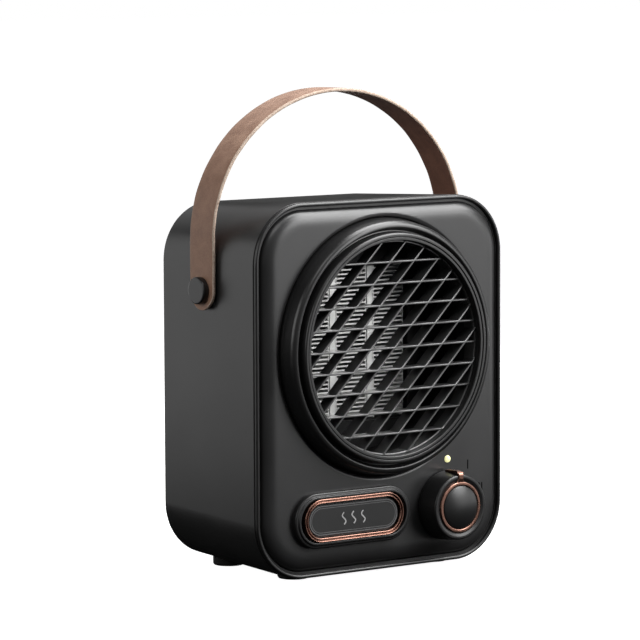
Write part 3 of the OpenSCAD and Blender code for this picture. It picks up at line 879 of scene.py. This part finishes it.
# Nodes whose own shape is right, with the edge that each one gets
EASED = {
    "rear_cover": ("rear_guard", 0.45, "black_plastic"),
    "rear_screws": ("rear_screw_heads", 0.25, "steel"),
    "core_frame": ("core_carrier", 0.5, "black_plastic"),
    "ptc_elements": ("ceramic_bars", 0.5, "aluminium"),
    "heater_fins": ("fin_stacks", 0.15, "aluminium"),
    "pivot_washers": ("pivot_spacers", 0.2, "black_plastic"),
    "core_screws": ("core_screw_set", 0.25, "steel"),
    "gland_nut": ("gland_lock_nut", 0.3, "black_plastic"),
    "fan_impeller": ("fan_rotor", 0.3, "black_plastic"),
    "motor_bracket": ("motor_arms", 0.3, "black_plastic"),
    "scale_marks": ("dial_marks", 0.05, "print", "dark_print"),
}


def eased_nodes():
    for node, (name, width, slot, *look) in EASED.items():
        body = frame["nodes"][node]["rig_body"]
        material = LOOKS[look[0] if look else slot]
        install(refined(node, name, width, material), body, slot, node)


def finish_shown_nodes():
    """The CAD nodes that stay get the finish of the slot that the record gives them."""
    slots = {row["node"]: row["material_slot"] for row in frame["record"]["subparts"]}
    for name, node in frame["nodes"].items():
        if node.hide_render:
            continue
        node.data.materials.clear()
        node.data.materials.append(LOOKS[slots[name]])


# ---- stage ----
def camera():
    yaw, pitch, roll = (math.radians(a) for a in (37.6, 5.5, -0.23))
    forward = Vector((math.sin(yaw) * math.cos(pitch), math.cos(yaw) * math.cos(pitch), -math.sin(pitch)))
    data = bpy.data.cameras.new("camera")
    data.lens = 219.7
    data.sensor_width = 36
    data.clip_end = 200
    eye = bpy.data.objects.new("camera", data)
    eye.rotation_mode = "QUATERNION"
    eye.rotation_quaternion = forward.to_track_quat("-Z", "Y") @ Quaternion((0, 0, 1), roll)
    eye.location = (-1.1993, -1.5500, 0.3119)
    bpy.context.scene.collection.objects.link(eye)
    bpy.context.scene.camera = eye


def soft_light(name, place, size, radiance, target=(0, 0, 0.1)):
    """A softbox that the camera itself doesn't see; its power follows from its radiance."""
    data = bpy.data.lights.new(name, "AREA")
    data.shape = "RECTANGLE"
    data.size, data.size_y = size
    data.energy = radiance * math.pi * size[0] * size[1]
    softbox = bpy.data.objects.new(name, data)
    softbox.location = place
    softbox.rotation_mode = "QUATERNION"
    softbox.rotation_quaternion = (Vector(target) - Vector(place)).to_track_quat("-Z", "Y")
    softbox.visible_camera = False
    bpy.context.scene.collection.objects.link(softbox)


def flag_off(piece, *names):
    """Keeps some softboxes off a piece, as black cards in a studio would."""
    shaded = bpy.data.collections.new("shaded")
    shaded.objects.link(piece)
    shaded.collection_objects[0].light_linking.link_state = "EXCLUDE"
    for name in names:
        bpy.data.objects[name].light_linking.receiver_collection = shaded


def floor():
    half = 12.0
    mesh = bpy.data.meshes.new("floor")
    mesh.from_pydata([(-half, -half, 0), (half, -half, 0), (half, half, 0), (-half, half, 0)], [],
                     [(0, 1, 2, 3)])
    ground = bpy.data.objects.new("floor", mesh)
    bpy.context.scene.collection.objects.link(ground)
    look = Look("white_floor", (0.55, 0.55, 0.55), 0.9, specular=0.0)
    look.shader.inputs["Emission Color"].default_value = (1, 1, 1, 1)
    look.shader.inputs["Emission Strength"].default_value = 0.97
    mesh.materials.append(look.material)
    ground.visible_diffuse = False
    ground.visible_glossy = False


def world_light():
    """White behind everything; the light it gives is dim, and dark below and on one side."""
    world = bpy.data.worlds.new("studio")
    bpy.context.scene.world = world
    world.use_nodes = True
    nodes, links = world.node_tree.nodes, world.node_tree.links
    dim = nodes["Background"]
    direction = nodes.new("ShaderNodeTexCoord").outputs["Generated"]

    def along(axis, stops):
        toward = nodes.new("ShaderNodeVectorMath")
        toward.operation = "DOT_PRODUCT"
        toward.inputs[1].default_value = axis
        shade = nodes.new("ShaderNodeValToRGB")
        ends = shade.color_ramp.elements
        for end, (position, level) in zip(ends, stops):
            end.position = position
            end.color = (level, level, level, 1)
        offset = nodes.new("ShaderNodeMath")
        offset.operation = "MULTIPLY_ADD"
        offset.inputs[1].default_value = 0.5
        offset.inputs[2].default_value = 0.5
        links.new(direction, toward.inputs[0])
        links.new(toward.outputs["Value"], offset.inputs[0])
        links.new(offset.outputs["Value"], shade.inputs["Fac"])
        return shade.outputs["Color"]

    both = nodes.new("ShaderNodeMixRGB")
    both.blend_type = "MULTIPLY"
    both.inputs["Fac"].default_value = 1
    links.new(along((-0.60, -0.79, 0.0), ((0.45, 0.08), (0.85, 0.20))), both.inputs["Color1"])
    links.new(along((0, 0, 1), ((0.36, 0.05), (0.50, 1.0))), both.inputs["Color2"])
    links.new(both.outputs["Color"], dim.inputs["Color"])
    white = nodes.new("ShaderNodeBackground")
    path = nodes.new("ShaderNodeLightPath")
    choice = nodes.new("ShaderNodeMixShader")
    links.new(path.outputs["Is Camera Ray"], choice.inputs["Fac"])
    links.new(dim.outputs["Background"], choice.inputs[1])
    white.inputs["Color"].default_value = (1, 1, 1, 1)
    links.new(white.outputs["Background"], choice.inputs[2])
    links.new(choice.outputs["Shader"], nodes["World Output"].inputs["Surface"])


def studio():
    """Softboxes placed for what each side of the heater reflects toward the camera."""
    floor()
    world_light()
    soft_light("overhead", (0.34, -0.04, 0.92), (0.8, 0.5), 10)
    soft_light("upper_right", (0.45, -0.45, 0.62), (0.5, 0.36), 11)
    soft_light("front_right", (0.52, -0.72, 0.41), (0.5, 0.26), 8)
    soft_light("front_fill", (0.52, -0.72, 0.12), (0.5, 0.3), 2.0)
    soft_light("right_side", (0.84, -0.36, 0.12), (0.42, 0.3), 1.6)
    soft_light("back_left", (-0.34, 0.44, 0.17), (0.36, 0.40), 1.1)
    soft_light("left_side", (-0.75, 0.0, 0.36), (0.4, 0.4), 3)
    soft_light("upper_left", (-0.26, -0.45, 0.78), (0.36, 0.36), 2.8)
    soft_light("behind", (0.05, 0.85, 0.72), (0.7, 0.4), 0.5)
    soft_light("low_back", (0.12, 1.0, 0.09), (0.5, 0.17), 3)
    soft_light("low_right", (0.76, 0.56, 0.08), (0.4, 0.15), 10)
    bpy.context.scene.view_settings.view_transform = "Standard"


camera()
studio()
flag_off(casing(), "front_right", "upper_right")
front_border()
front_face()
outlet_surround()
grille()
knob_pieces()
knob_copper()
lamp()
nameplate()
strap()
pivots()
feet()
strain_relief()
eased_nodes()
finish_shown_nodes()

bpy.context.view_layer.update()
